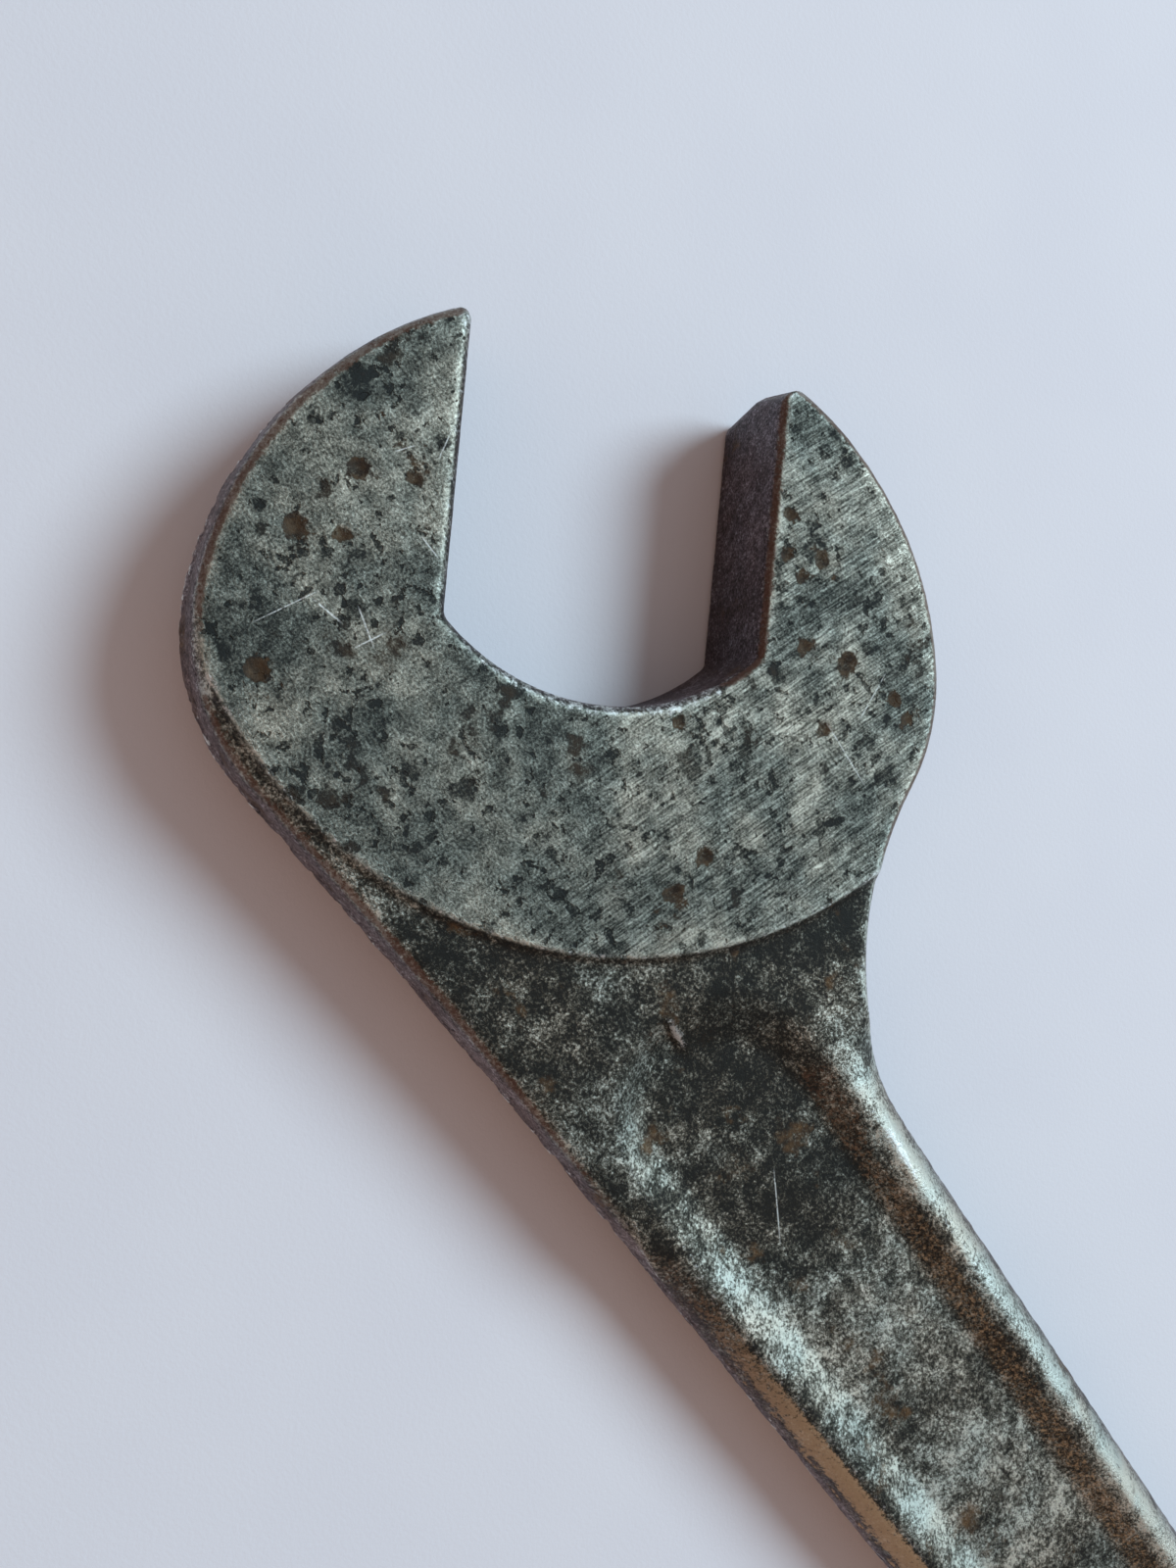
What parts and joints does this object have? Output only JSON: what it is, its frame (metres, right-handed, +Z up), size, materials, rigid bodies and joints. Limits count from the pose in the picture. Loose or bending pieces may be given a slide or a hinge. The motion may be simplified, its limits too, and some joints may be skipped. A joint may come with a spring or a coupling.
{
  "type": "hydrant wrench",
  "caption": "Drop-forged open-end hydrant wrench: thick round head with an angled jaw, tapering dished handle and a hanging eye.",
  "frame": {"origin": "middle of the underside of the box round the wrench as it lies flat", "axes": "+X along the handle towards the jaw, +Y towards the outer jaw arm, +Z up out of the ground face; the jaw opens towards +X and -Y"},
  "size_m": [0.33, 0.0716, 0.014],
  "materials": {
    "forged_steel": "worn forged steel: ground head faces with pits and grinding marks, dark oxide scale, rust stains, rubbed bright edges"
  },
  "bodies": {
    "root": {"wrench_forging": "forged_steel"}
  },
  "joints": []
}
